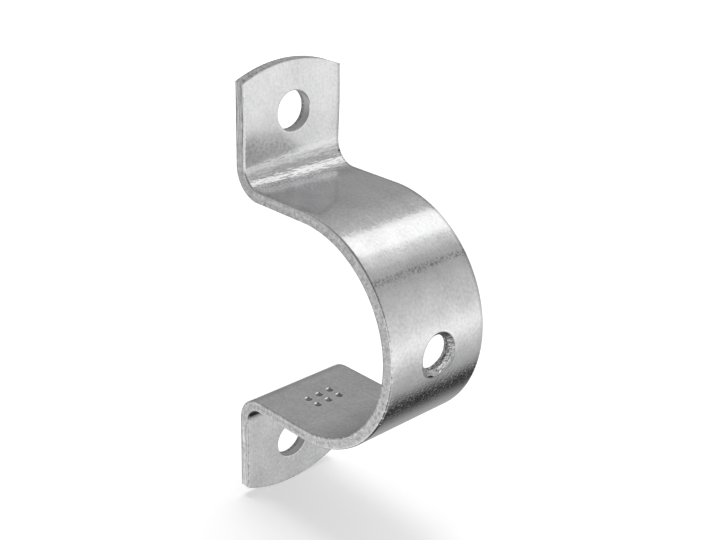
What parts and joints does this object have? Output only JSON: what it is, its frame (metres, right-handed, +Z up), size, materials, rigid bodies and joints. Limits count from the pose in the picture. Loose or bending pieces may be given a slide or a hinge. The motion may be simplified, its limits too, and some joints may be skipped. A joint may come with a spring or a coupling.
{
  "type": "pipe band clamp",
  "caption": "Folded flat steel strip with arched wall tabs, a screw hole in each tab, straight legs and a half round with a tapped hole, for holding a pipe against a wall.",
  "frame": {"origin": "in the wall plane, midway between the two screw holes", "axes": "+Y out of the back of the tabs into the wall, so the band bulges towards -Y; +X along the pipe; +Z up, along the row of screw holes"},
  "size_m": [0.05, 0.089, 0.192],
  "materials": {
    "zinc_plated_steel": "bright zinc plate over rolled and sheared steel, semi-gloss with a faint mottle"
  },
  "bodies": {
    "root": {"clamp_band": "zinc_plated_steel"}
  },
  "joints": []
}
